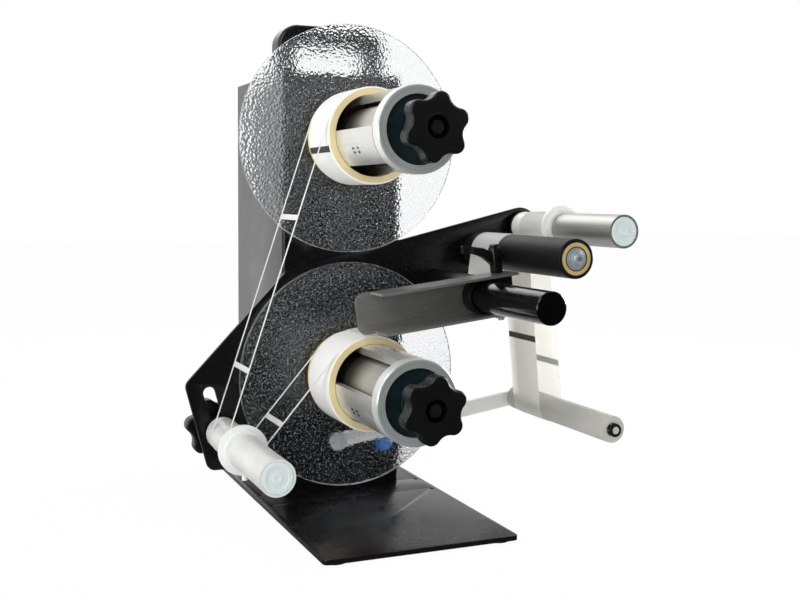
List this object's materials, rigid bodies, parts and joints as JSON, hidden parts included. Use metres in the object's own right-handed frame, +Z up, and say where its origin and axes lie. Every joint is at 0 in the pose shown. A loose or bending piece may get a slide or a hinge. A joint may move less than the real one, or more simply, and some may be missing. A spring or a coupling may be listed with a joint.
{
  "type": "label rewinder",
  "caption": "Bench machine that winds labels on two expanding spindles with clear flanges, guided by rollers, a dancer arm and a swing arm.",
  "frame": {"origin": "middle of the column's width, on the plane of the column's front face, at the level the feet stand on", "axes": "+X right seen from the front, +Y from the rollers back into the column, +Z up"},
  "size_m": [0.3998, 0.415, 0.474],
  "materials": {
    "powder_coat": "fine textured black powder coat",
    "black_plastic": "moulded black plastic with a soft sheen",
    "foot_rubber": "matt black rubber",
    "screw_steel": "blackened screw heads",
    "clear_acrylic": "clear acrylic with a hammered back",
    "machined_aluminium": "fine turned and brushed",
    "ring_aluminium": "fine turned face with a dark blue pressed-in plate",
    "cardboard": "wound tan cardboard",
    "label_paper": "white label paper",
    "liner_paper": "white release liner",
    "spindle_steel": "ground steel",
    "roller_steel": "brushed tube with a milky plug",
    "milky_nylon": "milky translucent nylon",
    "black_rubber": "fine ground black rubber",
    "bush_brass": "turned brass",
    "zinc_steel": "bright zinc plate",
    "arm_steel": "brushed flat bar",
    "dancer_sleeve": "satin grey-white sleeve",
    "blue_rubber": "blue elastomer on a white washer",
    "post_black": "gloss black",
    "channel_steel": "grained stainless sheet",
    "bearing_steel": "bearing steel",
    "motor_zinc": "zinc plated can",
    "belt_rubber": "black timing belt",
    "board_green": "green circuit board"
  },
  "bodies": {
    "root": {"base_plate": "powder_coat", "rubber_feet": "foot_rubber", "column_housing": "powder_coat", "rear_cover": "powder_coat", "cover_screws": "screw_steel", "frame_screws": "screw_steel", "carry_handle": "black_plastic", "wing_plate": "powder_coat", "top_axle": "post_black", "rubber_axle": "zinc_steel", "arm_bumper": "blue_rubber", "angle_sensor": "black_plastic", "guide_post": "post_black", "bearing_blocks": "machined_aluminium", "ball_bearings": "bearing_steel", "drive_motor": "motor_zinc", "motor_bracket": "powder_coat", "drive_belts": "belt_rubber", "control_board": "board_green", "power_entry": "black_plastic", "label_web": "label_paper", "ladder_web": "liner_paper"},
    "motor_pulley": {"motor_pulley": "machined_aluminium"},
    "rocker": {"power_rocker": "black_plastic"},
    "carriage": {"slot_carriage": "spindle_steel"},
    "carriage_knob": {"carriage_knob": "black_plastic"},
    "left_roller": {"left_roller": "roller_steel"},
    "left_collar": {"left_collar": "milky_nylon"},
    "top_roller": {"top_roller": "roller_steel"},
    "top_collar": {"top_collar": "milky_nylon"},
    "rubber_roller": {"rubber_roller": "black_rubber", "roller_bushes": "bush_brass"},
    "dancer": {"dancer_arm": "arm_steel", "dancer_pins": "spindle_steel"},
    "dancer_roller": {"dancer_roller": "dancer_sleeve"},
    "idler": {"idler_sleeve": "dancer_sleeve"},
    "post_stop": {"post_stop": "post_black"},
    "swing_arm": {"swing_channel": "channel_steel", "clamp_block": "black_plastic"},
    "clamp_lever": {"clamp_lever": "black_plastic"},
    "lower_spindle": {"lower_spindle": "spindle_steel", "lower_disc": "clear_acrylic", "lower_drum": "machined_aluminium", "lower_core": "cardboard", "lower_roll": "label_paper"},
    "lower_ring": {"lower_ring": "ring_aluminium"},
    "lower_knob": {"lower_knob": "black_plastic"},
    "lower_segment_1": {"lower_segment_1": "machined_aluminium"},
    "lower_segment_2": {"lower_segment_2": "machined_aluminium"},
    "lower_segment_3": {"lower_segment_3": "machined_aluminium"},
    "upper_spindle": {"upper_spindle": "spindle_steel", "upper_disc": "clear_acrylic", "upper_drum": "machined_aluminium", "upper_core": "cardboard", "upper_roll": "label_paper"},
    "upper_ring": {"upper_ring": "ring_aluminium"},
    "upper_knob": {"upper_knob": "black_plastic"},
    "upper_segment_1": {"upper_segment_1": "machined_aluminium"},
    "upper_segment_2": {"upper_segment_2": "machined_aluminium"},
    "upper_segment_3": {"upper_segment_3": "machined_aluminium"}
  },
  "joints": [
    {"name": "lower_spindle_turn", "type": "hinge", "parent": "root", "child": "lower_spindle", "pos_m": [0, 0, 0.126], "axis": [0, -1, 0], "continuous": true},
    {"name": "lower_ring_slide", "type": "slide", "parent": "lower_spindle", "child": "lower_ring", "axis": [0, -1, 0], "range_m": [0, 0.004]},
    {"name": "lower_knob_turn", "type": "hinge", "parent": "lower_ring", "child": "lower_knob", "pos_m": [0, -0.19, 0.126], "axis": [0, -1, 0], "range_deg": [0, 720]},
    {"name": "lower_segment_1_slide", "type": "slide", "parent": "lower_spindle", "child": "lower_segment_1", "axis": [-0.1305, 0, -0.9914], "range_m": [0, 0.0025]},
    {"name": "lower_segment_2_slide", "type": "slide", "parent": "lower_spindle", "child": "lower_segment_2", "axis": [0.9239, 0, 0.3827], "range_m": [0, 0.0025]},
    {"name": "lower_segment_3_slide", "type": "slide", "parent": "lower_spindle", "child": "lower_segment_3", "axis": [-0.7934, 0, 0.6088], "range_m": [0, 0.0025]},
    {"name": "upper_spindle_turn", "type": "hinge", "parent": "root", "child": "upper_spindle", "pos_m": [0, 0, 0.358], "axis": [0, -1, 0], "continuous": true},
    {"name": "upper_ring_slide", "type": "slide", "parent": "upper_spindle", "child": "upper_ring", "axis": [0, -1, 0], "range_m": [0, 0.004]},
    {"name": "upper_knob_turn", "type": "hinge", "parent": "upper_ring", "child": "upper_knob", "pos_m": [0, -0.19, 0.358], "axis": [0, -1, 0], "range_deg": [0, 720]},
    {"name": "upper_segment_1_slide", "type": "slide", "parent": "upper_spindle", "child": "upper_segment_1", "axis": [-0.1305, 0, -0.9914], "range_m": [0, 0.0025]},
    {"name": "upper_segment_2_slide", "type": "slide", "parent": "upper_spindle", "child": "upper_segment_2", "axis": [0.9239, 0, 0.3827], "range_m": [0, 0.0025]},
    {"name": "upper_segment_3_slide", "type": "slide", "parent": "upper_spindle", "child": "upper_segment_3", "axis": [-0.7934, 0, 0.6088], "range_m": [0, 0.0025]},
    {"name": "motor_turn", "type": "hinge", "parent": "root", "child": "motor_pulley", "pos_m": [0, 0.056, 0.242], "axis": [0, -1, 0], "continuous": true},
    {"name": "carriage_slide", "type": "slide", "parent": "root", "child": "carriage", "axis": [-0.279, 0, 0.9603], "range_m": [-0.006, 0.039], "deforming": ["ladder_web"]},
    {"name": "carriage_knob_turn", "type": "hinge", "parent": "carriage", "child": "carriage_knob", "pos_m": [-0.1253, 0.022, 0.0746], "axis": [0, 1, 0], "range_deg": [-180, 180]},
    {"name": "left_roller_turn", "type": "hinge", "parent": "carriage", "child": "left_roller", "pos_m": [-0.1253, -0.1, 0.0746], "axis": [0, -1, 0], "continuous": true},
    {"name": "left_collar_slide", "type": "slide", "parent": "left_roller", "child": "left_collar", "axis": [0, -1, 0], "range_m": [0, 0.098]},
    {"name": "top_roller_turn", "type": "hinge", "parent": "root", "child": "top_roller", "pos_m": [0.2008, -0.1, 0.271], "axis": [0, -1, 0], "continuous": true},
    {"name": "top_collar_slide", "type": "slide", "parent": "top_roller", "child": "top_collar", "axis": [0, -1, 0], "range_m": [0, 0.1]},
    {"name": "rubber_roller_turn", "type": "hinge", "parent": "root", "child": "rubber_roller", "pos_m": [0.1475, -0.1, 0.2472], "axis": [0, -1, 0], "continuous": true},
    {"name": "dancer_swing", "type": "hinge", "parent": "root", "child": "dancer", "pos_m": [-0.01, -0.01, 0.0585], "axis": [0, -1, 0], "range_deg": [0, 28], "deforming": ["label_web"]},
    {"name": "dancer_roller_turn", "type": "hinge", "parent": "dancer", "child": "dancer_roller", "pos_m": [0.19368, -0.1, 0.0893], "axis": [0, -1, 0], "continuous": true},
    {"name": "idler_turn", "type": "hinge", "parent": "root", "child": "idler", "pos_m": [0.104, -0.045, 0.2075], "axis": [0, -1, 0], "continuous": true},
    {"name": "arm_slide", "type": "slide", "parent": "root", "child": "post_stop", "axis": [0, -1, 0], "range_m": [0, 0.1]},
    {"name": "arm_swing", "type": "hinge", "parent": "post_stop", "child": "swing_arm", "pos_m": [0.104, -0.093, 0.2075], "axis": [0, -1, 0], "range_deg": [-6, 3]},
    {"name": "clamp_lever_turn", "type": "hinge", "parent": "swing_arm", "child": "clamp_lever", "pos_m": [0.12236, -0.103, 0.20975], "axis": [-0.1219, 0, 0.9925], "range_deg": [-45, 90]},
    {"name": "rocker_tip", "type": "hinge", "parent": "root", "child": "rocker", "pos_m": [0, 0.17, 0.0978], "axis": [1, 0, 0], "range_deg": [-6, 6]}
  ],
  "couplings": [
    {"joint": "upper_spindle_turn", "follows": "lower_spindle_turn", "ratio": 1},
    {"joint": "motor_turn", "follows": "lower_spindle_turn", "ratio": 2},
    {"joint": "lower_knob_turn", "follows": "lower_ring_slide", "rad_per_m": 3141.6},
    {"joint": "lower_segment_1_slide", "follows": "lower_ring_slide", "ratio": 0.625},
    {"joint": "lower_segment_2_slide", "follows": "lower_ring_slide", "ratio": 0.625},
    {"joint": "lower_segment_3_slide", "follows": "lower_ring_slide", "ratio": 0.625},
    {"joint": "upper_knob_turn", "follows": "upper_ring_slide", "rad_per_m": 3141.6},
    {"joint": "upper_segment_1_slide", "follows": "upper_ring_slide", "ratio": 0.625},
    {"joint": "upper_segment_2_slide", "follows": "upper_ring_slide", "ratio": 0.625},
    {"joint": "upper_segment_3_slide", "follows": "upper_ring_slide", "ratio": 0.625}
  ]
}
